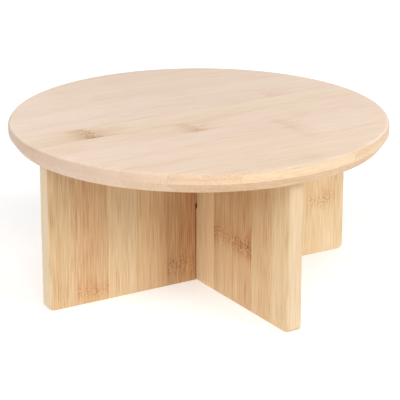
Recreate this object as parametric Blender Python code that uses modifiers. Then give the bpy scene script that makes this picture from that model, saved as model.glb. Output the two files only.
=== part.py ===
"""Lazy susan of solid bamboo: a round turntable on two crossed leg boards, with a ball bearing between.

Units are metres, +Z is up. The origin is on the floor under the point where the boards cross. Board A runs
along X and board B along Y. The turntable turns about Z on a thin ring bearing: the outer ring is screwed
down to the boards, the inner ring is screwed up into the turntable, and a nylon cage spaces the balls.
"""
import math

import bmesh
import bpy
from mathutils import Matrix, Vector

MM = 0.001

# Overall height, and the gap left between two surfaces that touch.
TOTAL_HEIGHT = 135 * MM
CONTACT_GAP = 0.3 * MM

# Turntable: a disc with a rounded upper edge, and a lower edge that slopes in.
TOP_RADIUS = 150 * MM
TOP_THICKNESS = 15 * MM
TOP_ROUNDING = 3 * MM
UNDERCUT_HEIGHT = 7 * MM
UNDERCUT_DEPTH = 5 * MM
POCKET_RADIUS = 62.5 * MM
POCKET_DEPTH = 6.5 * MM
TOP_STEPS = 96

# Leg boards, halved into each other: board A is slotted from below and board B from above.
BOARD_LENGTH = 276 * MM
BOARD_THICKNESS = 12 * MM
RUNNING_CLEARANCE = 2 * MM
BOARD_CORNER_RADIUS = 4 * MM
BOARD_EDGE_ROUNDING = 0.8 * MM
SLOT_SIDE_PLAY = 0.7 * MM
SLOT_A_TOP = 65 * MM
SLOT_B_BOTTOM = 61 * MM
SLOT_OVERRUN = 5 * MM

# Ring bearing. Radii are measured from the turning axis.
OUTER_RING_RADIUS = 60 * MM
OUTER_RING_BORE = 47 * MM
INNER_RING_RADIUS = 45 * MM
INNER_RING_BORE = 33 * MM
RING_HEIGHT = 7 * MM
BALL_COUNT = 24
BALL_RADIUS = 2 * MM
BALL_TRACK_RADIUS = 46 * MM
CAGE_THICKNESS = 1.2 * MM
CAGE_HEIGHT = 5.8 * MM
RING_STEPS = 64

# Countersunk wood screws.
SCREW_RADIUS = 1.5 * MM
SCREW_HEAD_RADIUS = 2.8 * MM
SCREW_TIP_LENGTH = 3 * MM
SCREW_HOLE_RADIUS = 1.9 * MM
SCREW_SINK_RADIUS = 3.3 * MM
SCREW_RECESS_LENGTH = 3.2 * MM
SCREW_RECESS_WIDTH = 0.8 * MM
SCREW_RECESS_DEPTH = 1.0 * MM
SCREW_STEPS = 16
BASE_SCREW_LENGTH = 16 * MM
BASE_SCREW_CIRCLE = 54 * MM
TOP_SCREW_LENGTH = 12 * MM
TOP_SCREW_CIRCLE = 38.5 * MM

# Heights worked out from the sizes above.
TOP_UNDERSIDE = TOTAL_HEIGHT - TOP_THICKNESS
POCKET_CEILING = TOP_UNDERSIDE + POCKET_DEPTH
BOARD_HEIGHT = TOP_UNDERSIDE - RUNNING_CLEARANCE
OUTER_RING_BOTTOM = BOARD_HEIGHT + CONTACT_GAP
OUTER_RING_TOP = OUTER_RING_BOTTOM + RING_HEIGHT
INNER_RING_TOP = POCKET_CEILING - CONTACT_GAP
INNER_RING_BOTTOM = INNER_RING_TOP - RING_HEIGHT
BALL_HEIGHT = (INNER_RING_BOTTOM + OUTER_RING_TOP) / 2
GROOVE_RADIUS = BALL_RADIUS + CONTACT_GAP

BOARD_A_SCREWS = [(BASE_SCREW_CIRCLE, 0), (-BASE_SCREW_CIRCLE, 0)]
BOARD_B_SCREWS = [(0, BASE_SCREW_CIRCLE), (0, -BASE_SCREW_CIRCLE)]


def around(radius, count, start):
    """Places (x, y) spread evenly on a circle about the turning axis."""
    angles = [math.radians(start + 360 * i / count) for i in range(count)]
    return [(radius * math.cos(a), radius * math.sin(a)) for a in angles]


TOP_SCREWS = around(TOP_SCREW_CIRCLE, 4, 45)


def clear_scene():
    for old in list(bpy.data.objects):
        bpy.data.objects.remove(old)


def new_collection(name):
    collection = bpy.data.collections.new(name)
    bpy.context.scene.collection.children.link(collection)
    return collection


def new_material(name, colour, roughness, metallic):
    material = bpy.data.materials.new(name)
    material.use_nodes = True
    shader = material.node_tree.nodes["Principled BSDF"]
    shader.inputs["Base Color"].default_value = (*colour, 1)
    shader.inputs["Roughness"].default_value = roughness
    shader.inputs["Metallic"].default_value = metallic
    return material


def new_piece(name, mesh, material):
    """A named sub-part of the object, with its own material."""
    piece = bpy.data.objects.new(name, mesh)
    mesh.materials.clear()
    mesh.materials.append(material)
    parts.objects.link(piece)
    return piece


def new_cutter(name, mesh):
    """A shape that is only cut away from others."""
    cutter = bpy.data.objects.new(name, mesh)
    cutter.hide_render = True
    cutter.display_type = "WIRE"
    cutters.objects.link(cutter)
    return cutter


def mesh_from(bm, name):
    mesh = bpy.data.meshes.new(name)
    bm.to_mesh(mesh)
    bm.free()
    return mesh


def box_mesh(name, low, high):
    """A box between two corners."""
    bm = bmesh.new()
    bmesh.ops.create_cube(bm, size=1)
    size = Vector(high) - Vector(low)
    centre = (Vector(high) + Vector(low)) / 2
    bm.transform(Matrix.Translation(centre) @ Matrix.Diagonal((*size, 1)))
    return mesh_from(bm, name)


def round_cutter(name, places, low, high, low_radius, high_radius):
    """Upright round cutters, all alike, one at each place."""
    bm = bmesh.new()
    for x, y in places:
        bmesh.ops.create_cone(
            bm, cap_ends=True, segments=SCREW_STEPS, radius1=low_radius, radius2=high_radius,
            depth=high - low, matrix=Matrix.Translation((x, y, (low + high) / 2)))
    return new_cutter(name, mesh_from(bm, name))


def profile_mesh(name, points, closed):
    """A turned shape's profile: points (radius, height), listed down the outer side."""
    edges = [(i, i + 1) for i in range(len(points) - 1)]
    if closed:
        edges.append((len(points) - 1, 0))
    mesh = bpy.data.meshes.new(name)
    mesh.from_pydata([(radius, 0, height) for radius, height in points], edges, [])
    return mesh


def turn(piece, steps):
    """Spin the piece's profile about Z."""
    screw = piece.modifiers.new("turned", "SCREW")
    screw.axis = "Z"
    screw.angle = math.tau
    screw.steps = steps
    screw.render_steps = steps
    screw.use_merge_vertices = True
    screw.merge_threshold = 0.01 * MM


def cut(piece, cutter):
    boolean = piece.modifiers.new(cutter.name, "BOOLEAN")
    boolean.operation = "DIFFERENCE"
    boolean.solver = "EXACT"
    boolean.object = cutter


def settle(piece):
    """Give the piece its modified shape as its own mesh, smooth apart from the sharp edges."""
    bpy.context.view_layer.update()
    depsgraph = bpy.context.evaluated_depsgraph_get()
    mesh = bpy.data.meshes.new_from_object(piece.evaluated_get(depsgraph))
    piece.modifiers.clear()
    piece.data = mesh
    mesh.name = piece.name
    mesh.shade_smooth()
    mesh.set_sharp_from_angle(angle=math.radians(35))


def arc(centre, radius, start, end, segments):
    """Points (radius, height) on an arc. Angles are in degrees, from outward towards up."""
    angles = [math.radians(start + (end - start) * i / segments) for i in range(segments + 1)]
    return [(centre[0] + radius * math.cos(a), centre[1] + radius * math.sin(a)) for a in angles]


def make_turntable_top(material):
    rounding_centre = (TOP_RADIUS - TOP_ROUNDING, TOTAL_HEIGHT - TOP_ROUNDING)
    profile = [(0, TOTAL_HEIGHT)]
    profile += arc(rounding_centre, TOP_ROUNDING, 90, 0, 3)
    profile += [
        (TOP_RADIUS, TOP_UNDERSIDE + UNDERCUT_HEIGHT),
        (TOP_RADIUS - UNDERCUT_DEPTH, TOP_UNDERSIDE),
        (POCKET_RADIUS, TOP_UNDERSIDE),
        (POCKET_RADIUS, POCKET_CEILING),
        (0, POCKET_CEILING),
    ]
    top = new_piece("turntable_top", profile_mesh("turntable_top", profile, False), material)
    turn(top, TOP_STEPS)
    hole_end = INNER_RING_BOTTOM + TOP_SCREW_LENGTH + CONTACT_GAP
    cut(top, round_cutter("top_pilot_holes", TOP_SCREWS, INNER_RING_TOP, hole_end,
                          SCREW_HOLE_RADIUS, SCREW_HOLE_RADIUS))
    settle(top)


def make_leg_board(name, turned_by, slot, screws, material):
    """A board on edge, with a slot for the other board and pilot holes in its upper edge."""
    half_length = BOARD_LENGTH / 2
    half_thickness = BOARD_THICKNESS / 2
    bm = bmesh.new()
    bm.from_mesh(box_mesh(name, (-half_length, -half_thickness, 0),
                          (half_length, half_thickness, BOARD_HEIGHT)))
    lower_corners = [edge for edge in bm.edges
                     if all(v.co.z < MM for v in edge.verts)
                     and abs(edge.verts[0].co.x - edge.verts[1].co.x) < MM]
    bmesh.ops.bevel(bm, geom=lower_corners, offset=BOARD_CORNER_RADIUS, segments=4, profile=0.5,
                    affect="EDGES")
    board = new_piece(name, mesh_from(bm, name), material)
    board.rotation_euler.z = turned_by
    rounding = board.modifiers.new("edges", "BEVEL")
    rounding.width = BOARD_EDGE_ROUNDING
    rounding.segments = 2
    rounding.limit_method = "ANGLE"
    rounding.angle_limit = math.radians(40)
    cut(board, new_cutter(name + "_slot", slot))
    hole_end = OUTER_RING_TOP - BASE_SCREW_LENGTH - CONTACT_GAP
    cut(board, round_cutter(name + "_pilot_holes", screws, hole_end, OUTER_RING_TOP,
                            SCREW_HOLE_RADIUS, SCREW_HOLE_RADIUS))
    settle(board)


def make_leg_boards(material_a, material_b):
    slot_half_width = BOARD_THICKNESS / 2 + SLOT_SIDE_PLAY
    slot_reach = BOARD_THICKNESS
    slot_a = box_mesh("slot_a", (-slot_half_width, -slot_reach, -SLOT_OVERRUN),
                      (slot_half_width, slot_reach, SLOT_A_TOP))
    slot_b = box_mesh("slot_b", (-slot_reach, -slot_half_width, SLOT_B_BOTTOM),
                      (slot_reach, slot_half_width, BOARD_HEIGHT + SLOT_OVERRUN))
    make_leg_board("leg_board_a", 0, slot_a, BOARD_A_SCREWS, material_a)
    make_leg_board("leg_board_b", math.radians(90), slot_b, BOARD_B_SCREWS, material_b)


def groove(wall_radius, side):
    """The ball groove in a ring's wall, from bottom to top on the outer ring (side 1)."""
    reach = math.degrees(math.acos((wall_radius - BALL_TRACK_RADIUS) * side / GROOVE_RADIUS))
    middle = 0 if side > 0 else 180
    return arc((BALL_TRACK_RADIUS, BALL_HEIGHT), GROOVE_RADIUS, middle - reach, middle + reach, 6)


def make_ring(name, profile, screws, sink_low, sink_high, low_radius, high_radius, material):
    ring = new_piece(name, profile_mesh(name, profile, True), material)
    turn(ring, RING_STEPS)
    heights = [height for radius, height in profile]
    cut(ring, round_cutter(name + "_holes", screws, min(heights) - MM, max(heights) + MM,
                           SCREW_HOLE_RADIUS, SCREW_HOLE_RADIUS))
    cut(ring, round_cutter(name + "_sinks", screws, sink_low, sink_high, low_radius, high_radius))
    settle(ring)


def make_bearing_rings(material):
    outer_profile = [(OUTER_RING_RADIUS, OUTER_RING_TOP), (OUTER_RING_RADIUS, OUTER_RING_BOTTOM),
                     (OUTER_RING_BORE, OUTER_RING_BOTTOM)]
    outer_profile += groove(OUTER_RING_BORE, 1)
    outer_profile.append((OUTER_RING_BORE, OUTER_RING_TOP))
    inner_profile = [(INNER_RING_RADIUS, INNER_RING_TOP)]
    inner_profile += groove(INNER_RING_RADIUS, -1)
    inner_profile += [(INNER_RING_RADIUS, INNER_RING_BOTTOM), (INNER_RING_BORE, INNER_RING_BOTTOM),
                      (INNER_RING_BORE, INNER_RING_TOP)]

    # The sinks are 90 degree cones, carried past the ring's face so that they cut cleanly.
    sink_depth = SCREW_SINK_RADIUS - SCREW_HOLE_RADIUS
    wide_radius = SCREW_SINK_RADIUS + MM
    make_ring("bearing_outer_ring", outer_profile, BOARD_A_SCREWS + BOARD_B_SCREWS,
              OUTER_RING_TOP - sink_depth, OUTER_RING_TOP + MM, SCREW_HOLE_RADIUS, wide_radius, material)
    make_ring("bearing_inner_ring", inner_profile, TOP_SCREWS,
              INNER_RING_BOTTOM - MM, INNER_RING_BOTTOM + sink_depth, wide_radius, SCREW_HOLE_RADIUS, material)


def make_ball_cage(material):
    inside = BALL_TRACK_RADIUS - CAGE_THICKNESS / 2
    outside = BALL_TRACK_RADIUS + CAGE_THICKNESS / 2
    top = BALL_HEIGHT + CAGE_HEIGHT / 2
    bottom = BALL_HEIGHT - CAGE_HEIGHT / 2
    profile = [(outside, top), (outside, bottom), (inside, bottom), (inside, top)]
    cage = new_piece("ball_cage", profile_mesh("ball_cage", profile, True), material)
    turn(cage, BALL_COUNT * 3)
    windows = bmesh.new()
    for x, y in around(BALL_TRACK_RADIUS, BALL_COUNT, 0):
        outward = Vector((x, y, 0)).to_track_quat("Z", "Y").to_matrix().to_4x4()
        bmesh.ops.create_cone(
            windows, cap_ends=True, segments=12, radius1=GROOVE_RADIUS, radius2=GROOVE_RADIUS,
            depth=3 * CAGE_THICKNESS, matrix=Matrix.Translation((x, y, BALL_HEIGHT)) @ outward)
    cut(cage, new_cutter("ball_windows", mesh_from(windows, "ball_windows")))
    settle(cage)


def make_balls(material):
    bm = bmesh.new()
    bmesh.ops.create_uvsphere(bm, u_segments=10, v_segments=6, radius=BALL_RADIUS)
    mesh = mesh_from(bm, "ball")
    mesh.shade_smooth()
    for number, (x, y) in enumerate(around(BALL_TRACK_RADIUS, BALL_COUNT, 0), 1):
        ball = new_piece(f"ball_{number:02d}", mesh, material)
        ball.location = (x, y, BALL_HEIGHT)


def make_screws(prefix, length, places, head_height, points_up, material):
    """Screws with a countersunk head and a cross recess, made pointing down with the head at zero."""
    head_depth = SCREW_HEAD_RADIUS - SCREW_RADIUS
    profile = [(0, 0), (SCREW_HEAD_RADIUS, 0), (SCREW_RADIUS, -head_depth),
               (SCREW_RADIUS, SCREW_TIP_LENGTH - length), (0, -length)]
    first = new_piece(prefix + "_1", profile_mesh(prefix, profile, False), material)
    turn(first, SCREW_STEPS)
    long_side = SCREW_RECESS_LENGTH / 2
    short_side = SCREW_RECESS_WIDTH / 2
    for number, (x, y) in enumerate([(long_side, short_side), (short_side, long_side)], 1):
        name = f"{prefix}_recess_{number}"
        cut(first, new_cutter(name, box_mesh(name, (-x, -y, -SCREW_RECESS_DEPTH), (x, y, MM))))
    settle(first)
    copies = [new_piece(f"{prefix}_{number}", first.data, material) for number in range(2, len(places) + 1)]
    for screw, (x, y) in zip([first] + copies, places):
        screw.location = (x, y, head_height)
        screw.rotation_euler.x = math.radians(180 if points_up else 0)


clear_scene()
parts = new_collection("lazy_susan")
cutters = new_collection("cutters")

bamboo_top = new_material("bamboo_top", (0.80, 0.64, 0.50), 0.50, 0)
bamboo_board_a = new_material("bamboo_board_a", (0.68, 0.47, 0.29), 0.50, 0)
bamboo_board_b = new_material("bamboo_board_b", (0.71, 0.50, 0.32), 0.50, 0)
ring_aluminium = new_material("ring_aluminium", (0.78, 0.79, 0.80), 0.35, 1)
cage_nylon = new_material("cage_nylon", (0.88, 0.87, 0.82), 0.45, 0)
ball_steel = new_material("ball_steel", (0.62, 0.62, 0.63), 0.12, 1)
screw_zinc = new_material("screw_zinc", (0.70, 0.70, 0.68), 0.30, 1)

make_turntable_top(bamboo_top)
make_leg_boards(bamboo_board_a, bamboo_board_b)
make_bearing_rings(ring_aluminium)
make_ball_cage(cage_nylon)
make_balls(ball_steel)
make_screws("base_screw", BASE_SCREW_LENGTH, BOARD_A_SCREWS + BOARD_B_SCREWS, OUTER_RING_TOP, False,
            screw_zinc)
make_screws("top_screw", TOP_SCREW_LENGTH, TOP_SCREWS, INNER_RING_BOTTOM, True, screw_zinc)
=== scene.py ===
"""Looks of the bamboo lazy susan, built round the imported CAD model.

Units are metres and +Z is up. Board A runs along X, board B along Y, and the turntable's fibres run
along X. Every CAD node is replaced by a finer piece of the same size, which rides on the same body.
"""

import math

import bmesh
import bpy
from mathutils import Matrix, Vector


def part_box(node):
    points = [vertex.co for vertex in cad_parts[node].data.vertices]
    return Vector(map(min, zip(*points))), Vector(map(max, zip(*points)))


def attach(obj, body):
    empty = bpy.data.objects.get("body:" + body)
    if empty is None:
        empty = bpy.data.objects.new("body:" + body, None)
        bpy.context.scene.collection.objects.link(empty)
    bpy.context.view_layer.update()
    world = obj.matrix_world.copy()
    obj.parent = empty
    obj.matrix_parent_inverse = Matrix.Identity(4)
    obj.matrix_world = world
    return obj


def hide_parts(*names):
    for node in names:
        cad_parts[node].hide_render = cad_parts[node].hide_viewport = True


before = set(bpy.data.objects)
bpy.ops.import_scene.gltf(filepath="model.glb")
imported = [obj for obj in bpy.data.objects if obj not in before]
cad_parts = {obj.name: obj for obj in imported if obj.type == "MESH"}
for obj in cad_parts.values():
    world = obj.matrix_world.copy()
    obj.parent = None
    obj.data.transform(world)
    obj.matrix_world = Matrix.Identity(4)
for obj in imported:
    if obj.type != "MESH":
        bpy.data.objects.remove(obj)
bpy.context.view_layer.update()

MM = 0.001

# Sizes read from the CAD frame.
top_low, top_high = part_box("turntable_top")
board_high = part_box("leg_board_a")[1]
outer_low, outer_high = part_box("bearing_outer_ring")
inner_low, inner_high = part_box("bearing_inner_ring")
cage_low, cage_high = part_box("ball_cage")
TOP_RADIUS = top_high.x
TOP_SURFACE = top_high.z
TOP_UNDERSIDE = top_low.z
BOARD_HALF_LENGTH = board_high.x
BOARD_HALF_THICKNESS = board_high.y
BOARD_HEIGHT = board_high.z
BALL_HEIGHT = (cage_low.z + cage_high.z) / 2

# Sizes that a box doesn't give, the same as in the CAD model. CONTACT_GAP is how far apart two pieces stand
# that touch on the real object.
CONTACT_GAP = 0.3 * MM
TOP_ROUNDING = 3 * MM
UNDERCUT_HEIGHT = 7 * MM
UNDERCUT_DEPTH = 5 * MM
POCKET_RADIUS = 62.5 * MM
POCKET_DEPTH = 6.5 * MM
BOARD_CORNER_RADIUS = 4 * MM
BOARD_EDGE_ROUNDING = 0.8 * MM
SLOT_SIDE_PLAY = 0.7 * MM
SLOT_A_TOP = 65 * MM
SLOT_B_BOTTOM = 61 * MM
OUTER_RING_BORE = 47 * MM
INNER_RING_BORE = 33 * MM
BALL_TRACK_RADIUS = 46 * MM
BALL_RADIUS = 2 * MM
GROOVE_RADIUS = BALL_RADIUS + CONTACT_GAP
CAGE_THICKNESS = 1.2 * MM
SCREW_HOLE_RADIUS = 1.9 * MM
SCREW_SINK_RADIUS = 3.3 * MM
SCREW_HEAD_RADIUS = 2.8 * MM
SCREW_RADIUS = 1.5 * MM

# Details that only the visible pieces have.
EASED = 0.4 * MM
CAGE_EASED = 0.2 * MM
SCREW_HEAD_RIM = 0.15 * MM
SCREW_CORE_RADIUS = 1.05 * MM
SCREW_PLAIN_LENGTH = 2 * MM
SCREW_TIP_LENGTH = 3 * MM
SCREW_PITCH = 1.3 * MM
RECESS_REACH = 1.6 * MM
RECESS_HALF_WIDTH = 0.4 * MM
RECESS_DEPTH = 1 * MM
RECESS_TAPER = 0.55
SCREW_TURN = 0.4  # radians from one screw's recess to the next one's

# Sides of the round shapes, and how far a cutter goes past what it cuts.
TOP_SEGMENTS = 256
RING_SEGMENTS = 192
CAGE_SEGMENTS = 240
BALL_SEGMENTS = 32
BALL_RINGS = 20
HOLE_SEGMENTS = 32
CUT_OVERRUN = 1 * MM
CUT_OVERLAP = 0.01 * MM

# Strips that the boards and the top are glued up from.
BOARD_STRIP = 27.0 * MM
TOP_STRIP = 26.3 * MM

# Camera, at the photograph's angle. Its lens and sensor are in millimetres, as Blender has them.
CAMERA_AZIMUTH = -31.37
CAMERA_ELEVATION = 18.8
CAMERA_DISTANCE = 1.5167
CAMERA_AIM = (0.8 * MM, -0.5 * MM, 65 * MM)
CAMERA_LENS = 170.4
CAMERA_SENSOR = 36


# ---------------------------------------------------------------- mesh tools

def rounded(points, radii, segments=5):
    """An outline's corners, each replaced by an arc of its own radius. The outline is closed."""
    outline = []
    count = len(points)
    for i, (point, radius) in enumerate(zip(points, radii)):
        corner = Vector(point)
        back = (Vector(points[i - 1]) - corner).normalized()
        ahead = (Vector(points[(i + 1) % count]) - corner).normalized()
        if radius == 0:
            outline.append(tuple(corner))
            continue
        half_angle = back.angle(ahead) / 2
        start = corner + back * radius / math.tan(half_angle)
        centre = corner + (back + ahead).normalized() * radius / math.sin(half_angle)
        turn = math.pi - 2 * half_angle
        side = 1 if back.x * ahead.y - back.y * ahead.x < 0 else -1
        spoke = start - centre
        for k in range(segments + 1):
            angle = side * turn * k / segments
            outline.append((centre.x + spoke.x * math.cos(angle) - spoke.y * math.sin(angle),
                            centre.y + spoke.x * math.sin(angle) + spoke.y * math.cos(angle)))
    return outline


def finish_mesh(bm, name):
    """The bmesh as a mesh, with its faces turned outwards."""
    bmesh.ops.recalc_face_normals(bm, faces=bm.faces)
    mesh = bpy.data.meshes.new(name)
    bm.to_mesh(mesh)
    bm.free()
    return mesh


def lathe(profile, segments):
    """A bmesh of the closed (radius, height) profile turned about Z. A point on the axis is one vertex."""
    bm = bmesh.new()
    rings = []
    for radius, height in profile:
        if radius < 0.001 * MM:
            rings.append([bm.verts.new((0, 0, height))] * segments)
            continue
        angles = [math.tau * i / segments for i in range(segments)]
        rings.append([bm.verts.new((radius * math.cos(a), radius * math.sin(a), height)) for a in angles])
    for i, ring in enumerate(rings):
        following = rings[(i + 1) % len(rings)]
        for k in range(segments):
            corners = [ring[k], ring[k - 1], following[k - 1], following[k]]
            different = [v for n, v in enumerate(corners) if v not in corners[:n]]
            if len(different) > 2:
                bm.faces.new(different)
    return bm


def smooth(mesh, angle=30):
    """Smooth shading, except across edges that turn by more than the angle, in degrees."""
    mesh.shade_smooth()
    mesh.set_sharp_from_angle(angle=math.radians(angle))


def new_object(name, data):
    """An object in the scene."""
    item = bpy.data.objects.new(name, data)
    bpy.context.scene.collection.objects.link(item)
    return item


def piece_of(name, mesh, body, nodes, material):
    """A visible piece that stands for CAD nodes and rides on their body."""
    mesh.materials.clear()
    mesh.materials.append(material)
    piece = new_object(name, mesh)
    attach(piece, body)
    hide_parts(*nodes)
    return piece


def cut_mesh(mesh, bm):
    """The mesh with the shapes in bm cut away from it."""
    holder = new_object("holder", mesh)
    cutter = new_object("cutter", finish_mesh(bm, "cutter"))
    boolean = holder.modifiers.new("cut", "BOOLEAN")
    boolean.operation = "DIFFERENCE"
    boolean.solver = "EXACT"
    boolean.object = cutter
    bpy.context.view_layer.update()
    depsgraph = bpy.context.evaluated_depsgraph_get()
    result = bpy.data.meshes.new_from_object(holder.evaluated_get(depsgraph))
    result.name = mesh.name
    for item in (holder, cutter):
        bpy.data.objects.remove(item)
    return result


def drill(bm, places, low, high, low_radius, high_radius):
    """Add upright round cutters to bm, one at each place."""
    for x, y in places:
        bmesh.ops.create_cone(
            bm, cap_ends=True, segments=HOLE_SEGMENTS, radius1=low_radius, radius2=high_radius,
            depth=high - low, matrix=Matrix.Translation((x, y, (low + high) / 2)))


def screw_places(node_prefix):
    """Where the CAD model's screws stand, and their heights."""
    boxes = [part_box(f"{node_prefix}_{number}") for number in range(1, 5)]
    centres = [(low + high) / 2 for low, high in boxes]
    return [(c.x, c.y) for c in centres], boxes[0][0].z, boxes[0][1].z


# ---------------------------------------------------------------- material tools

class Tree:
    """A material's node tree, with short ways to add what the materials here need."""

    def __init__(self, name):
        self.material = bpy.data.materials.new(name)
        self.material.use_nodes = True
        self.nodes = self.material.node_tree.nodes
        self.links = self.material.node_tree.links
        self.shader = self.nodes["Principled BSDF"]

    def feed(self, socket, value):
        if isinstance(value, bpy.types.NodeSocket):
            self.links.new(value, socket)
        else:
            socket.default_value = value

    def math(self, operation, *values, clamp=False):
        node = self.nodes.new("ShaderNodeMath")
        node.operation = operation
        node.use_clamp = clamp
        for socket, value in zip(node.inputs, values):
            self.feed(socket, value)
        return node.outputs[0]

    def add(self, *values):
        total = values[0]
        for value in values[1:]:
            total = self.math("ADD", total, value)
        return total

    def times(self, *values):
        product = values[0]
        for value in values[1:]:
            product = self.math("MULTIPLY", product, value)
        return product

    def weighted(self, *pairs):
        """The sum of the values in (value, weight) pairs, each times its weight."""
        return self.add(*[self.times(value, weight) for value, weight in pairs])

    def object_axes(self):
        """The piece's own X, Y and Z at each point, and its own normal there."""
        coordinates = self.nodes.new("ShaderNodeTexCoord")
        place = self.nodes.new("ShaderNodeSeparateXYZ")
        normal = self.nodes.new("ShaderNodeSeparateXYZ")
        self.links.new(coordinates.outputs["Object"], place.inputs[0])
        self.links.new(coordinates.outputs["Normal"], normal.inputs[0])
        return list(place.outputs), list(normal.outputs)

    def radius(self, place):
        """How far a point is from the Z axis."""
        return self.math("SQRT", self.add(self.times(place[0], place[0]), self.times(place[1], place[1])))

    def vector(self, x, y, z):
        node = self.nodes.new("ShaderNodeCombineXYZ")
        for socket, value in zip(node.inputs, (x, y, z)):
            self.feed(socket, value)
        return node.outputs[0]

    def noise(self, vector, scale=1.0, detail=2.0, roughness=0.5):
        node = self.nodes.new("ShaderNodeTexNoise")
        self.feed(node.inputs["Vector"], vector)
        node.inputs["Scale"].default_value = scale
        node.inputs["Detail"].default_value = detail
        node.inputs["Roughness"].default_value = roughness
        return node.outputs[0]

    def random(self, value):
        """A random number from 0 to 1 for each whole value."""
        node = self.nodes.new("ShaderNodeTexWhiteNoise")
        node.noise_dimensions = "1D"
        self.feed(node.inputs["W"], value)
        return node.outputs["Value"]

    def ease(self, value, low, high, to_low=0.0, to_high=1.0):
        """Goes smoothly from to_low to to_high as value goes from low to high."""
        node = self.nodes.new("ShaderNodeMapRange")
        node.interpolation_type = "SMOOTHSTEP"
        for socket, number in zip(node.inputs, (value, low, high, to_low, to_high)):
            self.feed(socket, number)
        return node.outputs[0]

    def fade(self, value, low, high):
        """Goes smoothly from 1 to 0 as value goes from low to high."""
        return self.ease(value, low, high, 1.0, 0.0)

    def spread(self, value, amount):
        """Noise turned about zero and scaled."""
        return self.times(self.math("SUBTRACT", value, 0.5), amount)

    def mix(self, factor, a, b, blend="MIX"):
        node = self.nodes.new("ShaderNodeMix")
        node.data_type = "RGBA"
        node.blend_type = blend
        self.feed(node.inputs["Factor"], factor)
        for socket, value in ((node.inputs[6], a), (node.inputs[7], b)):
            self.feed(socket, value if isinstance(value, bpy.types.NodeSocket) else (*value, 1))
        return node.outputs[2]

    def ramp(self, value, stops):
        """A colour ramp; stops are (position, (r, g, b))."""
        node = self.nodes.new("ShaderNodeValToRGB")
        ramp = node.color_ramp
        while len(ramp.elements) < len(stops):
            ramp.elements.new(1)
        for element, (position, colour) in zip(ramp.elements, stops):
            element.position = position
            element.color = (*colour, 1)
        self.feed(node.inputs[0], value)
        return node.outputs[0]

    def chart(self, value, rows):
        """The row of four numbers, each from 0 to 1, that value falls in, the first row starting at 0."""
        node = self.nodes.new("ShaderNodeValToRGB")
        node.color_ramp.interpolation = "CONSTANT"
        while len(node.color_ramp.elements) < len(rows):
            node.color_ramp.elements.new(1)
        for number, (element, row) in enumerate(zip(node.color_ramp.elements, rows)):
            element.position = number / len(rows)
            element.color = row
        self.feed(node.inputs[0], value)
        parts = self.nodes.new("ShaderNodeSeparateColor")
        self.links.new(node.outputs["Color"], parts.inputs[0])
        return [*parts.outputs, node.outputs["Alpha"]]

    def bump(self, height, distance, strength=1.0):
        node = self.nodes.new("ShaderNodeBump")
        node.inputs["Strength"].default_value = strength
        node.inputs["Distance"].default_value = distance
        self.feed(node.inputs["Height"], height)
        return node.outputs[0]


def srgb(red, green, blue):
    """A colour given as it shows on a screen, 0 to 255, as the renderer's linear colour."""
    return tuple((c / 255 / 12.92) if c < 10.3 else ((c / 255 + 0.055) / 1.055) ** 2.4
                 for c in (red, green, blue))


# ---------------------------------------------------------------- bamboo

def strip(low, high, red, red_high=None, node=0.0, strength=0.0, lean=0.0, size=1.0):
    """One strip of a glued board.

    low and high are its tones at its two edges, from 0, pale, to 1, dark; red and red_high are how red it is
    there. node is the place along the fibres, in metres, of the culm's joint, a ragged mark across the strip,
    and strength is how clearly it shows. A node with a lean of 1 fades towards the strip's high edge, and
    size stretches it along the fibres.
    """
    return (low, high, red, red if red_high is None else red_high), (node, strength, lean, size)


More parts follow.
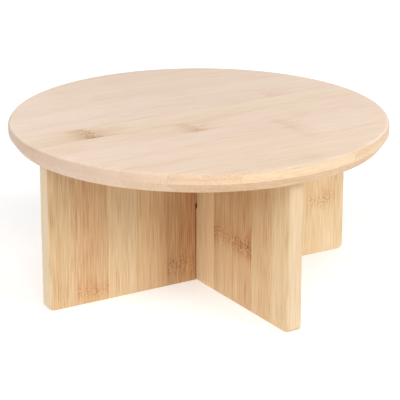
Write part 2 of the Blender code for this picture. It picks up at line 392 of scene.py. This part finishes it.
class Bamboo(Tree):
    """Solid bamboo, glued up from flat strips.

    straw and red are the ramps that a tone runs through. contrast scales the fibres and the glue lines, and
    painted_shade_rise is painted shade and light: the tone added for each metre along the fibres, which makes
    upright boards darker up under the turntable and paler down by the floor. fleck, stain and tail are how
    strong a node's flecks are, its cloud, and the darker fibres on one side of it, which tail's sign chooses.
    edge_tone is added where the strips show their narrow sides, slant_shade, which is painted shade, where
    the surface slants down, arris_tone on the edge above the slant, and end_tone at the end grain. edge_tint
    and end_tint multiply the colour at the narrow sides and at the end grain.

    Noise coordinates are multiplied by one over about the size of the marks, in metres.
    """
    # Nodes lie within half of REACH from the piece's origin and have at most the size LARGEST_NODE. At
    # PAINTED_SHADE_MIDDLE along the fibres, the painted shade and light of painted_shade_rise add nothing.
    REACH = 0.4
    LARGEST_NODE = 4.0
    PAINTED_SHADE_MIDDLE = 57 * MM

    def __init__(self, name, fibre_axis, strip_axis, strips, first_edge, pitch, straw, red, contrast,
                 fleck, stain, tail, edge_tone, edge_tint, end_tint, end_tone=0.0, painted_shade_rise=0.0,
                 slant_shade=0.0, arris_tone=0.0):
        super().__init__(name)
        place, normal = self.object_axes()
        self.along, self.across = place[fibre_axis], place[strip_axis]
        self.depth = place[3 - fibre_axis - strip_axis]
        self.contrast = contrast
        # The narrow sides' tone starts early on rounded edges. On the top's round-over it is partly the side
        # grain's own tone, partly painted shade that damps the round-over's highlight.
        self.edge_share = self.ease(self.math("ABSOLUTE", normal[strip_axis]), 0.3, 0.75)
        self.end_share = self.ease(self.math("ABSOLUTE", normal[fibre_axis]), 0.45, 0.97)
        self.read_chart(strips, first_edge, pitch)
        self.find_node()

        grain = self.grain()
        knot = self.knot(fleck, stain, tail)
        layers = self.layers()
        # Painted shade and light along the fibres: on the boards, darker towards the turntable, paler towards
        # the floor.
        painted_shade_along = self.times(self.add(self.along, -self.PAINTED_SHADE_MIDDLE), painted_shade_rise)
        tone = self.add(self.tone, painted_shade_along, grain, knot, self.glue_lines(),
                        self.times(self.edge_share, edge_tone), self.times(layers, 0.16),
                        self.slopes(normal[2], slant_shade, arris_tone))
        redness = self.add(self.redness, self.spread(self.broad, 0.6),
                           self.weighted((self.halo, 0.2), (self.core, 0.1), (layers, 0.5)))
        side = self.mix(self.ease(redness, 0.0, 1.0), self.ramp(tone, straw), self.ramp(tone, red))
        side = self.mix(self.edge_share, side, self.mix(1.0, side, edge_tint, "MULTIPLY"))
        end = self.end_grain(end_tone, end_tint, red)

        self.feed(self.shader.inputs["Base Color"], self.mix(self.end_share, side, end))
        self.feed(self.shader.inputs["Roughness"], self.roughness())
        self.feed(self.shader.inputs["Normal"], self.bump(self.relief(), 0.05 * MM, 0.6))
        self.shader.inputs["Specular IOR Level"].default_value = 0.4

    def read_chart(self, strips, first_edge, pitch):
        """What the list of strips says at each point."""
        count = len(strips)
        position = self.math("DIVIDE", self.math("SUBTRACT", self.across, first_edge), pitch)
        index = self.math("FLOOR", position)
        fraction = self.math("FRACT", position)
        middle = self.math("DIVIDE", self.add(index, 0.5), float(count))
        shares = [(0.5 + node / self.REACH, strength, lean, size / self.LARGEST_NODE)
                  for _, (node, strength, lean, size) in strips]
        low, high, red, red_high = self.chart(middle, [tones for tones, _ in strips])
        node, strength, lean, size = self.chart(middle, shares)
        self.tone = self.add(low, self.times(self.math("SUBTRACT", high, low), fraction))
        self.redness = self.add(red, self.times(self.math("SUBTRACT", red_high, red),
                                                self.ease(fraction, 0.25, 0.6)))
        self.node_place = self.times(self.math("SUBTRACT", node, 0.5), self.REACH)
        self.strength = self.times(strength, self.math("SUBTRACT", 1.0, self.times(lean, fraction)))
        self.size = self.times(size, self.LARGEST_NODE)
        chance = self.random(index)
        self.seed = self.times(chance, 30.0)
        to_edge = self.times(self.math("MINIMUM", fraction, self.math("SUBTRACT", 1.0, fraction)), pitch)
        self.glue = self.times(self.fade(to_edge, 0.15 * MM, 0.50 * MM), self.add(0.35, chance))

    def find_node(self):
        """Distance from the node's ragged line, and fibres that waver close to it."""
        away = self.math("SUBTRACT", self.along, self.node_place)
        ragged = self.noise(self.vector(self.times(self.across, 130.0), self.seed, 2.0),
                            detail=3.0, roughness=0.6)
        self.from_node = self.add(away, self.spread(ragged, 12 * MM))
        self.scaled = self.math("DIVIDE", self.from_node, self.size)
        self.distance = self.math("ABSOLUTE", self.scaled)
        self.near = self.times(self.fade(self.distance, 0.0, 16 * MM), self.strength)
        wave = self.noise(self.vector(self.times(self.across, 160.0), self.seed,
                                      self.times(self.along, 90.0)))
        self.fibre = self.add(self.across, self.times(self.spread(wave, 12 * MM), self.near))

    def streaks(self, width, length, detail, slice_at):
        """Noise drawn out along the fibres, about width across and length along. slice_at sets it apart."""
        return self.noise(self.vector(self.add(self.times(self.fibre, 1 / width), self.seed),
                                      self.add(self.times(self.depth, 1 / width), slice_at),
                                      self.times(self.along, 1 / length)), detail=detail)

    def grain(self):
        """Broad and fine bands of fibres, thin dark bundles among them, and short dashes in patches."""
        self.broad = self.streaks(8 * MM, 200 * MM, 1.0, 3.0)
        medium = self.streaks(2.4 * MM, 80 * MM, 1.0, 7.0)
        self.fine = self.streaks(0.85 * MM, 30 * MM, 1.0, 11.0)
        self.bundles = self.ease(self.streaks(0.75 * MM, 28 * MM, 0.0, 17.0), 0.54, 0.74)
        self.dashes = self.ease(self.streaks(0.6 * MM, 7 * MM, 0.0, 23.0), 0.60, 0.80)
        cloud = self.noise(self.vector(self.times(self.fibre, 40.0),
                                       self.add(self.times(self.depth, 40.0), self.seed),
                                       self.times(self.along, 10.0)))
        patches = self.ease(cloud, 0.42, 0.62)
        bundles = self.times(self.bundles, self.ease(cloud, 0.3, 0.7, 0.6, 1.2))
        bands = self.add(self.spread(self.broad, 0.20), self.spread(medium, 0.14),
                         self.spread(self.fine, 0.80), self.spread(cloud, 0.20))
        total = self.add(bands, self.times(bundles, 0.15), self.times(self.dashes, patches, 0.17), -0.03)
        softened = self.math("SUBTRACT", 1.0, self.times(self.edge_share, 0.5))
        return self.times(total, self.contrast, softened)

    def knot(self, fleck, stain, tail):
        """The node's dark and light flecks, its cloud with flame-shaped tips, and darker fibres beyond it."""
        self.flecks = self.noise(self.vector(self.times(self.across, 480.0), self.times(self.depth, 480.0),
                                             self.times(self.along, 640.0)), roughness=0.65)
        self.core = self.times(self.fade(self.distance, 2.2 * MM, 6.5 * MM), self.strength)
        dark_flecks = self.times(self.core, self.ease(self.flecks, 0.48, 0.60))
        light_flecks = self.times(self.core, self.ease(self.flecks, 0.46, 0.38))
        crease = self.times(self.fade(self.math("ABSOLUTE", self.from_node), 0.1 * MM, 0.9 * MM),
                            self.strength)
        flames = self.noise(self.vector(self.times(self.fibre, 230.0), self.seed,
                                        self.times(self.along, 120.0)))
        tips = self.noise(self.vector(self.times(self.across, 110.0), self.seed, 5.0), detail=1.0)
        above = self.fade(self.add(self.scaled, self.spread(tips, 26 * MM)), 3 * MM, 18 * MM)
        below = self.ease(self.scaled, -11 * MM, -3 * MM)
        self.halo = self.times(above, below, self.strength, self.ease(flames, 0.30, 0.66, 0.65, 1.0))
        beyond = self.times(self.from_node, 1.0 if tail > 0 else -1.0)
        darker = self.times(self.ease(beyond, -90 * MM, -4 * MM), self.fade(beyond, -2 * MM, 3 * MM),
                            self.strength)
        return self.weighted((self.halo, stain), (self.core, 0.35 * stain), (dark_flecks, fleck),
                             (crease, 0.2 * fleck), (light_flecks, -3.2 * fleck), (darker, abs(tail)))

    def layers(self):
        """Thin bands of fibres on the strips' narrow sides."""
        bands = self.noise(self.vector(self.times(self.depth, 420.0), self.seed,
                                       self.times(self.along, 3.0)))
        return self.times(self.spread(bands, 1.0), self.edge_share)

    def glue_lines(self):
        """Dark lines between the strips, fainter on their narrow sides."""
        strength = self.ease(self.edge_share, 0.0, 1.0, 0.18 * self.contrast, 0.08 * self.contrast)
        return self.times(self.glue, strength)

    def slopes(self, up, slant_shade, arris_tone):
        """Painted shade where the surface slants down, and a darker line on the edge above the slant."""
        down = self.times(up, -1.0)
        # Painted shade on faces that slant down to the floor, such as the top's undercut.
        slant = self.times(self.ease(down, 0.35, 0.5), self.fade(down, 0.7, 0.85))
        arris = self.times(self.ease(down, 0.05, 0.25), self.fade(down, 0.35, 0.5))
        return self.weighted((slant, slant_shade), (arris, arris_tone))

    def end_grain(self, end_tone, end_tint, red):
        """Where the fibres meet the surface: a little darker and greyer, dotted with the cut bundles."""
        dots = self.noise(self.vector(self.times(self.across, 1000.0), self.times(self.depth, 1000.0),
                                      self.seed), detail=1.0)
        self.dotted = self.ease(dots, 0.50, 0.66)
        mottle = self.noise(self.vector(self.times(self.across, 110.0), self.times(self.depth, 300.0),
                                        self.seed))
        tone = self.add(self.tone, end_tone, self.times(self.dotted, 0.08), self.spread(mottle, 0.22))
        return self.mix(1.0, self.ramp(tone, red), end_tint, "MULTIPLY")

    def roughness(self):
        marks = self.weighted((self.fine, 0.14), (self.bundles, 0.08), (self.core, 0.15),
                              (self.end_share, 0.15))
        return self.add(0.42, marks)

    def relief(self):
        """Fine fibres and a node's flecks stand up; bundles, dashes, glue and cut ends lie lower."""
        flecks = self.times(self.flecks, self.near)
        cut_ends = self.times(self.dotted, self.end_share)
        return self.weighted((self.fine, 0.6), (self.bundles, -0.4), (self.dashes, -0.2), (flecks, 0.7),
                             (cut_ends, -0.8), (self.glue, -0.5))


# Tone ramps, from the palest strip to the darkest mark. The top's ramps and strips are paler than the
# boards': partly the top's own paler, pinker colour, partly painted light for the brighter light on its face.
BOARD_STRAW = [
    (0.00, srgb(236, 212, 176)),
    (0.25, srgb(224, 197, 156)),
    (0.50, srgb(208, 176, 134)),
    (0.75, srgb(190, 150, 106)),
    (1.00, srgb(146, 104, 66)),
]
BOARD_RED = [
    (0.00, srgb(238, 208, 168)),
    (0.25, srgb(224, 190, 144)),
    (0.50, srgb(209, 168, 122)),
    (0.75, srgb(192, 138, 92)),
    (1.00, srgb(134, 84, 56)),
]
TOP_STRAW = [
    (0.00, srgb(240, 222, 202)),
    (0.25, srgb(235, 213, 190)),
    (0.50, srgb(224, 197, 167)),
    (0.75, srgb(202, 166, 127)),
    (1.00, srgb(150, 108, 72)),
]
TOP_RED = [
    (0.00, srgb(239, 219, 204)),
    (0.25, srgb(233, 208, 190)),
    (0.50, srgb(222, 190, 166)),
    (0.75, srgb(196, 154, 122)),
    (1.00, srgb(142, 96, 70)),
]

# The strips of board A along +X, those of board B along +Y and those of the top along +Y.
STRIPS_A = [
    strip(0.53, 0.54, 0.00),
    strip(0.50, 0.56, 0.50, node=0.009, strength=0.5),
    strip(0.29, 0.34, 0.25),
    strip(0.28, 0.54, 0.65),
    strip(0.67, 0.62, 0.25, red_high=0.90, node=0.014, strength=0.56, lean=0.3, size=1.8),
    strip(0.46, 0.46, 0.40, node=0.085, strength=0.5),
    strip(0.40, 0.36, 0.20),
    strip(0.46, 0.52, 0.60, node=0.058, strength=0.7),
    strip(0.36, 0.34, 0.30),
    strip(0.26, 0.24, 0.40, node=0.047, strength=0.7),
    strip(0.30, 0.30, 0.10),
]
STRIPS_B = [
    strip(0.34, 0.37, 0.00),
    strip(0.49, 0.53, 0.30),
    strip(0.54, 0.55, 0.50, node=0.049, strength=0.80, size=1.3),
    strip(0.49, 0.50, 0.40, node=0.051, strength=0.75, size=1.3),
    strip(0.19, 0.15, 0.85),
    strip(0.50, 0.50, 0.50, node=0.030, strength=0.5),
    strip(0.40, 0.36, 0.20),
    strip(0.50, 0.54, 0.60, node=0.072, strength=0.8),
    strip(0.38, 0.40, 0.30),
    strip(0.46, 0.44, 0.50, node=0.024, strength=0.6),
    strip(0.32, 0.30, 0.10),
]
STRIPS_TOP = [
    strip(0.34, 0.34, 0.22),
    strip(0.37, 0.37, 0.32),
    strip(0.31, 0.34, 0.36),
    strip(0.28, 0.30, 0.35, node=0.046, strength=0.3),
    strip(0.28, 0.26, 0.60, node=0.048, strength=0.3),
    strip(0.32, 0.27, 0.40, node=-0.018, strength=0.72, lean=0.4, size=1.7),
    strip(0.35, 0.27, 0.10, node=-0.095, strength=1.0, lean=0.30, size=2.3),
    strip(0.26, 0.24, 0.70, node=0.085, strength=0.3, lean=0.2),
    strip(0.22, 0.22, 0.40, node=0.025, strength=0.15),
    strip(0.28, 0.24, 0.60),
    strip(0.24, 0.24, 0.30, node=-0.060, strength=0.12),
    strip(0.28, 0.28, 0.50),
]


def metal(name, colour, roughness, turned):
    """Metal with fine marks: rings about Z where it was turned, otherwise small scratches."""
    tree = Tree(name)
    place, _ = tree.object_axes()
    if turned:
        marks = tree.noise(tree.vector(tree.radius(place), place[2], 0.0), scale=9000.0)
    else:
        marks = tree.noise(tree.vector(*place), scale=2500.0, detail=3.0)
    stain = tree.noise(tree.vector(*place), scale=120.0)
    shade = tree.mix(tree.ease(stain, 0.35, 0.7, 0.0, 0.35), colour, tuple(0.8 * c for c in colour))
    tree.feed(tree.shader.inputs["Base Color"], shade)
    tree.shader.inputs["Metallic"].default_value = 1.0
    tree.feed(tree.shader.inputs["Roughness"], tree.add(roughness, tree.times(marks, 0.12)))
    tree.feed(tree.shader.inputs["Normal"], tree.bump(marks, 0.01 * MM, 0.5))
    return tree.material


def nylon(name, colour):
    """Slightly see-through moulded plastic with a fine grain."""
    tree = Tree(name)
    place, _ = tree.object_axes()
    grain = tree.noise(tree.vector(*place), scale=1800.0)
    tint = tree.mix(tree.ease(grain, 0.3, 0.7), colour, tuple(0.93 * c for c in colour))
    tree.feed(tree.shader.inputs["Base Color"], tint)
    tree.feed(tree.shader.inputs["Roughness"], tree.add(0.36, tree.times(grain, 0.15)))
    tree.feed(tree.shader.inputs["Normal"], tree.bump(grain, 0.01 * MM, 0.4))
    tree.shader.inputs["Subsurface Weight"].default_value = 0.15
    tree.shader.inputs["Subsurface Radius"].default_value = (1 * MM, 1 * MM, 1 * MM)
    tree.shader.inputs["Subsurface Scale"].default_value = 1.0
    return tree.material


# ---------------------------------------------------------------- pieces

def make_top(material):
    """The turntable's top, turned from its profile, with a pocket for the bearing and screw holes."""
    underside_radius = TOP_RADIUS - UNDERCUT_DEPTH
    ceiling = TOP_UNDERSIDE + POCKET_DEPTH
    corners = [
        (0, TOP_SURFACE, 0),
        (TOP_RADIUS, TOP_SURFACE, TOP_ROUNDING),
        (TOP_RADIUS, TOP_UNDERSIDE + UNDERCUT_HEIGHT, EASED),
        (underside_radius, TOP_UNDERSIDE, EASED),
        (POCKET_RADIUS, TOP_UNDERSIDE, EASED),
        (POCKET_RADIUS, ceiling, EASED),
        (0, ceiling, 0),
    ]
    profile = rounded([(r, z) for r, z, _ in corners], [rounding for _, _, rounding in corners],
                      segments=8)
    places, _, tips = screw_places("top_screw")
    mesh = finish_mesh(lathe(profile, TOP_SEGMENTS), "turntable_top")
    holes = bmesh.new()
    drill(holes, places, inner_high.z, tips + CONTACT_GAP, SCREW_HOLE_RADIUS, SCREW_HOLE_RADIUS)
    mesh = cut_mesh(mesh, holes)
    smooth(mesh)
    piece_of("turntable", mesh, "turntable", ["turntable_top"], material)


def make_board(name, node, slot_from_below, screws, turned, material):
    """A leg board: its outline in X and Z, given its thickness, with eased edges and screw holes.

    Two boards are halved into each other: one has its opening from below, the other from above and is turned
    to run along Y.
    """
    length, height = BOARD_HALF_LENGTH, BOARD_HEIGHT
    half_slot = BOARD_HALF_THICKNESS + SLOT_SIDE_PLAY
    below, above = [], []
    if slot_from_below:
        below = [(-half_slot, 0, EASED), (-half_slot, SLOT_A_TOP, EASED),
                 (half_slot, SLOT_A_TOP, EASED), (half_slot, 0, EASED)]
    else:
        above = [(half_slot, height, EASED), (half_slot, SLOT_B_BOTTOM, EASED),
                 (-half_slot, SLOT_B_BOTTOM, EASED), (-half_slot, height, EASED)]
    corners = [(-length, 0, BOARD_CORNER_RADIUS), *below, (length, 0, BOARD_CORNER_RADIUS),
               (length, height, EASED), *above, (-length, height, EASED)]
    outline = rounded([(x, z) for x, z, _ in corners], [radius for _, _, radius in corners], segments=6)
    bm = bmesh.new()
    front = bm.faces.new([bm.verts.new((x, -BOARD_HALF_THICKNESS, z)) for x, z in outline])
    grown = bmesh.ops.extrude_face_region(bm, geom=[front])
    moved = [item for item in grown["geom"] if isinstance(item, bmesh.types.BMVert)]
    bmesh.ops.translate(bm, verts=moved, vec=(0, 2 * BOARD_HALF_THICKNESS, 0))
    bmesh.ops.recalc_face_normals(bm, faces=bm.faces)
    # The outline turns by 15 degrees or less at each of its points, the rims of the broad faces by 90.
    rims = [edge for edge in bm.edges if edge.calc_face_angle() > math.radians(40)]
    bmesh.ops.bevel(bm, geom=rims, offset=BOARD_EDGE_ROUNDING, segments=4, profile=0.5, affect="EDGES",
                    clamp_overlap=True)
    if turned:
        quarter = Matrix.Rotation(math.radians(90), 3, "Z")
        bmesh.ops.rotate(bm, verts=bm.verts, cent=(0, 0, 0), matrix=quarter)
    mesh = finish_mesh(bm, node)
    tips = screw_places("base_screw")[1]
    holes = bmesh.new()
    drill(holes, screws, tips - CONTACT_GAP, height + CUT_OVERRUN, SCREW_HOLE_RADIUS, SCREW_HOLE_RADIUS)
    mesh = cut_mesh(mesh, holes)
    smooth(mesh, 35)
    piece = piece_of(name, mesh, "base", [node], material)
    flat = piece.modifiers.new("flat_faces_stay_flat", "WEIGHTED_NORMAL")
    flat.keep_sharp = True


def groove(wall_radius, side):
    """Points of the ball groove in a ring's wall. side is 1 on the outer ring and -1 on the inner."""
    reach = math.acos((wall_radius - BALL_TRACK_RADIUS) * side / GROOVE_RADIUS)
    middle = 0 if side > 0 else math.pi
    steps = 12
    angles = [middle - reach + 2 * reach * i / steps for i in range(steps + 1)]
    return [(BALL_TRACK_RADIUS + GROOVE_RADIUS * math.cos(a), BALL_HEIGHT + GROOVE_RADIUS * math.sin(a))
            for a in angles]


def ring_mesh(name, low, high, bore, groove_points, corners_before_groove):
    """A bearing ring, turned about Z: a block with eased corners and a groove in one of its walls."""
    steps = 3
    outline = rounded([(high.x, high.z), (high.x, low.z), (bore, low.z), (bore, high.z)], [EASED] * 4, steps)
    split = corners_before_groove * (steps + 1)
    profile = outline[:split] + groove_points + outline[split:]
    return finish_mesh(lathe(profile, RING_SEGMENTS), name)


def countersunk(mesh, places, low, high, heads_up):
    """The ring with a screw hole at each place, widened for the head at its upper or lower end."""
    depth = SCREW_SINK_RADIUS - SCREW_HOLE_RADIUS
    narrow, wide = SCREW_HOLE_RADIUS, SCREW_SINK_RADIUS + CUT_OVERRUN
    if heads_up:
        cuts = [(low.z - CUT_OVERRUN, high.z - depth, narrow, narrow),
                (high.z - depth - CUT_OVERLAP, high.z + CUT_OVERRUN, narrow, wide)]
    else:
        cuts = [(low.z + depth, high.z + CUT_OVERRUN, narrow, narrow),
                (low.z - CUT_OVERRUN, low.z + depth + CUT_OVERLAP, wide, narrow)]
    for cut in cuts:
        holes = bmesh.new()
        drill(holes, places, *cut)
        mesh = cut_mesh(mesh, holes)
    return mesh


def make_rings(material):
    outer = ring_mesh("outer_ring", outer_low, outer_high, OUTER_RING_BORE, groove(OUTER_RING_BORE, 1), 3)
    outer = countersunk(outer, screw_places("base_screw")[0], outer_low, outer_high, True)
    smooth(outer)
    piece_of("outer_ring", outer, "base", ["bearing_outer_ring"], material)

    inner = ring_mesh("inner_ring", inner_low, inner_high, INNER_RING_BORE, groove(inner_high.x, -1), 1)
    inner = countersunk(inner, screw_places("top_screw")[0], inner_low, inner_high, False)
    smooth(inner)
    piece_of("inner_ring", inner, "turntable", ["bearing_inner_ring"], material)


def ball_nodes():
    return sorted(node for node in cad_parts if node.startswith("ball_") and node != "ball_cage")


def make_cage(material):
    """The thin ring that spaces the balls, with a round window at each."""
    inside = BALL_TRACK_RADIUS - CAGE_THICKNESS / 2
    outside = BALL_TRACK_RADIUS + CAGE_THICKNESS / 2
    corners = [(outside, cage_high.z), (outside, cage_low.z), (inside, cage_low.z), (inside, cage_high.z)]
    profile = rounded(corners, [CAGE_EASED] * 4, segments=3)
    mesh = finish_mesh(lathe(profile, CAGE_SEGMENTS), "ball_cage")
    windows = bmesh.new()
    for node in ball_nodes():
        low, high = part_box(node)
        centre = (low + high) / 2
        outward = Vector((centre.x, centre.y, 0)).to_track_quat("Z", "Y").to_matrix().to_4x4()
        bmesh.ops.create_cone(
            windows, cap_ends=True, segments=HOLE_SEGMENTS, radius1=GROOVE_RADIUS, radius2=GROOVE_RADIUS,
            depth=3 * CAGE_THICKNESS, matrix=Matrix.Translation(centre) @ outward)
    mesh = cut_mesh(mesh, windows)
    smooth(mesh)
    piece_of("cage", mesh, "ball_set", ["ball_cage"], material)


def make_balls(material):
    bm = bmesh.new()
    bmesh.ops.create_uvsphere(bm, u_segments=BALL_SEGMENTS, v_segments=BALL_RINGS, radius=BALL_RADIUS)
    mesh = finish_mesh(bm, "bearing_ball")
    mesh.shade_smooth()
    for node in ball_nodes():
        low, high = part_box(node)
        ball = piece_of("bearing_" + node, mesh, "ball_set", [node], material)
        ball.location = (low + high) / 2


def screw_mesh(name, length):
    """A countersunk wood screw with a real thread, pointing down, its head's face at zero."""
    segments, rows_per_turn = 24, 8
    head_depth = SCREW_HEAD_RADIUS - SCREW_RADIUS
    thread_top = -(head_depth + SCREW_PLAIN_LENGTH)
    plain = [(SCREW_HEAD_RADIUS - SCREW_HEAD_RIM, 0), (SCREW_HEAD_RADIUS, -SCREW_HEAD_RIM),
             (SCREW_RADIUS, -head_depth), (SCREW_RADIUS, thread_top)]
    rings = [[point] * segments for point in plain]
    rows = int((length + thread_top) / SCREW_PITCH * rows_per_turn)
    for row in range(1, rows):
        height = thread_top - (length + thread_top) * row / rows
        taper = min(1.0, (length + height) / SCREW_TIP_LENGTH)
        grow = min(1.0, row / rows_per_turn)
        core = SCREW_CORE_RADIUS + (SCREW_RADIUS - SCREW_CORE_RADIUS) * (1 - grow)
        ring = []
        for k in range(segments):
            phase = (-height / SCREW_PITCH + k / segments) % 1
            crest = max(0.0, 1 - abs(phase - 0.5) * 4)
            ring.append(((core + (SCREW_RADIUS - core) * crest) * taper, height))
        rings.append(ring)

    bm = bmesh.new()
    angles = [math.tau * k / segments for k in range(segments)]
    verts = [[bm.verts.new((radius * math.cos(a), radius * math.sin(a), height))
              for a, (radius, height) in zip(angles, ring)] for ring in rings]
    bm.faces.new(verts[0])
    tip = bm.verts.new((0, 0, -length))
    for upper, lower in zip(verts, verts[1:]):
        for k in range(segments):
            bm.faces.new([upper[k], upper[k - 1], lower[k - 1], lower[k]])
    for k in range(segments):
        bm.faces.new([verts[-1][k], verts[-1][k - 1], tip])
    mesh = cross_recess(finish_mesh(bm, name))
    smooth(mesh)
    return mesh


def cross_recess(mesh):
    """The screw with two tapered slots cut crosswise into its head."""
    for half_x, half_y in ((RECESS_REACH, RECESS_HALF_WIDTH), (RECESS_HALF_WIDTH, RECESS_REACH)):
        recess = bmesh.new()
        bmesh.ops.create_cube(recess, size=2)
        recess.transform(Matrix.Diagonal((half_x, half_y, RECESS_DEPTH, 1)))
        for vertex in recess.verts:
            if vertex.co.z < 0:
                vertex.co.x *= RECESS_TAPER
                vertex.co.y *= RECESS_TAPER
        mesh = cut_mesh(mesh, recess)
    return mesh


def make_screws(prefix, body, points_up, material):
    """Each screw a little further round, as screws end up."""
    places, low, high = screw_places(prefix)
    mesh = screw_mesh(prefix, high - low)
    for number, (x, y) in enumerate(places, 1):
        name, node = f"{prefix}_fine_{number}", f"{prefix}_{number}"
        screw = piece_of(name, mesh, body, [node], material)
        screw.location = (x, y, low if points_up else high)
        screw.rotation_euler = (math.pi if points_up else 0, 0, SCREW_TURN * number)


# ---------------------------------------------------------------- stage

FLOOR_HALF_SIZE = 6.0
FLOOR_DROP = 0.05 * MM
FLOOR_SHADES = (0.69, 0.69, 0.69), (0.71, 0.71, 0.71)

# The floor glows a little, and fully far away, where it meets the white background.
FLOOR_GLOW = 0.42
FAR_FLOOR_GLOW = 1.0
GLOW_GROWS_FROM = 1.7
GLOW_GROWS_TO = 3.0
WORLD_LIGHT = 0.04

# Soft lights: name, degrees round from the camera (to the right is positive), elevation, power in watts.
LIGHT_AIM = (0, 0, 80 * MM)
LIGHT_DISTANCE = 3.3
LIGHT_SIZE = 2.1
LIGHTS = [
    ("front", 0, 42, 55),
    ("right", 60, 30, 66),
    ("left", -60, 30, 35),
    ("back_left", -150, 30, 34),
    ("back_right", 150, 30, 36),
]


def direction(azimuth, elevation):
    """Points from the object to something at that azimuth, 0 on the -Y side and 90 on the +X side."""
    azimuth, elevation = math.radians(azimuth), math.radians(elevation)
    return Vector((math.sin(azimuth) * math.cos(elevation), -math.cos(azimuth) * math.cos(elevation),
                   math.sin(elevation)))


def facing_back(away):
    """The rotation of a camera or light that stands in that direction and looks back."""
    return (-away).to_track_quat("-Z", "Y").to_euler()


def floor_material():
    tree = Tree("floor")
    place, _ = tree.object_axes()
    grain = tree.noise(tree.vector(*place), scale=3.0, detail=1.0)
    tree.feed(tree.shader.inputs["Base Color"], tree.mix(tree.ease(grain, 0.3, 0.7), *FLOOR_SHADES))
    tree.shader.inputs["Roughness"].default_value = 0.9
    tree.shader.inputs["Specular IOR Level"].default_value = 0.0
    tree.shader.inputs["Emission Color"].default_value = (1, 1, 1, 1)
    glow = tree.ease(tree.radius(place), GLOW_GROWS_FROM, GLOW_GROWS_TO, FLOOR_GLOW, FAR_FLOOR_GLOW)
    tree.feed(tree.shader.inputs["Emission Strength"], glow)

    # Seen from below, the floor lets the underside show.
    geometry = tree.nodes.new("ShaderNodeNewGeometry")
    clear = tree.nodes.new("ShaderNodeBsdfTransparent")
    choice = tree.nodes.new("ShaderNodeMixShader")
    tree.links.new(geometry.outputs["Backfacing"], choice.inputs[0])
    tree.links.new(tree.shader.outputs[0], choice.inputs[1])
    tree.links.new(clear.outputs[0], choice.inputs[2])
    tree.links.new(choice.outputs[0], tree.nodes["Material Output"].inputs["Surface"])
    return tree.material


def make_floor():
    bm = bmesh.new()
    bmesh.ops.create_grid(bm, x_segments=8, y_segments=8, size=FLOOR_HALF_SIZE)
    floor = new_object("floor", finish_mesh(bm, "floor"))
    floor.data.materials.append(floor_material())
    floor.location.z = -FLOOR_DROP


def make_world():
    """Faint light all round, and a white background behind everything."""
    world = bpy.data.worlds.new("studio")
    bpy.context.scene.world = world
    world.use_nodes = True
    nodes, links = world.node_tree.nodes, world.node_tree.links
    light = nodes["Background"]
    light.inputs["Color"].default_value = (1, 1, 1, 1)
    light.inputs["Strength"].default_value = WORLD_LIGHT
    white = nodes.new("ShaderNodeBackground")
    white.inputs["Color"].default_value = (1, 1, 1, 1)
    seen = nodes.new("ShaderNodeLightPath")
    choice = nodes.new("ShaderNodeMixShader")
    links.new(seen.outputs["Is Camera Ray"], choice.inputs[0])
    links.new(light.outputs[0], choice.inputs[1])
    links.new(white.outputs[0], choice.inputs[2])
    links.new(choice.outputs[0], nodes["World Output"].inputs["Surface"])
    bpy.context.scene.view_settings.view_transform = "Standard"


def make_lights():
    for name, turn, elevation, power in LIGHTS:
        away = direction(CAMERA_AZIMUTH + turn, elevation)
        data = bpy.data.lights.new(name, "AREA")
        data.energy = power
        data.shape = "DISK"
        data.size = LIGHT_SIZE
        light = new_object(name, data)
        light.location = Vector(LIGHT_AIM) + away * LIGHT_DISTANCE
        light.rotation_euler = facing_back(away)


def make_camera():
    away = direction(CAMERA_AZIMUTH, CAMERA_ELEVATION)
    data = bpy.data.cameras.new("camera")
    data.lens = CAMERA_LENS
    data.sensor_width = CAMERA_SENSOR
    data.clip_start = 0.05
    data.clip_end = 50
    camera = new_object("camera", data)
    camera.location = Vector(CAMERA_AIM) + away * CAMERA_DISTANCE
    camera.rotation_euler = facing_back(away)
    bpy.context.scene.camera = camera


# ---------------------------------------------------------------- the object

# The boards' painted_shade_rise paints shade on their upper parts, under the turntable, and light near the
# floor.
BOARD_LOOK = dict(
    fibre_axis=2, pitch=BOARD_STRIP, straw=BOARD_STRAW, red=BOARD_RED, contrast=1.0, painted_shade_rise=1.3, fleck=0.13,
    stain=0.18, tail=-0.07, edge_tint=(0.96, 1.00, 1.10), end_tint=(0.90, 0.87, 0.84))
# Board A's end faces, lit by the weak left lamp, take a paler edge_tone than board B's, lit by the strong
# right lamp: partly their own tone, partly painted light and shade.
board_a_bamboo = Bamboo("fine_board_a", strip_axis=0, strips=STRIPS_A, first_edge=-140.8 * MM,
                        edge_tone=-0.27, **BOARD_LOOK).material
board_b_bamboo = Bamboo("fine_board_b", strip_axis=1, strips=STRIPS_B, first_edge=-141.0 * MM,
                        edge_tone=0.08, **BOARD_LOOK).material
# The top's slant_shade is painted shade on its undercut, which faces the floor.
top_bamboo = Bamboo(
    "fine_top", fibre_axis=0, strip_axis=1, strips=STRIPS_TOP, first_edge=-167.6 * MM, pitch=TOP_STRIP,
    straw=TOP_STRAW, red=TOP_RED, contrast=0.70, fleck=0.07, stain=0.26, tail=0.16, edge_tone=0.22,
    edge_tint=(1.00, 1.00, 0.98), slant_shade=0.07, arris_tone=0.35, end_tone=0.10,
    end_tint=(0.83, 0.83, 0.81)).material
aluminium = metal("fine_aluminium", (0.78, 0.79, 0.80), 0.28, True)
steel = metal("fine_steel", (0.62, 0.62, 0.63), 0.08, False)
zinc = metal("fine_zinc", (0.70, 0.70, 0.68), 0.25, False)
cage_nylon = nylon("fine_nylon", (0.88, 0.87, 0.82))

make_camera()
make_world()
make_lights()
make_floor()
make_top(top_bamboo)

# Base screws 1 and 2 stand on board A, 3 and 4 on board B.
base_screws = screw_places("base_screw")[0]
make_board("leg_a", "leg_board_a", True, base_screws[:2], False, board_a_bamboo)
make_board("leg_b", "leg_board_b", False, base_screws[2:], True, board_b_bamboo)
make_rings(aluminium)
make_cage(cage_nylon)
make_balls(steel)
make_screws("base_screw", "base", False, zinc)
make_screws("top_screw", "turntable", True, zinc)
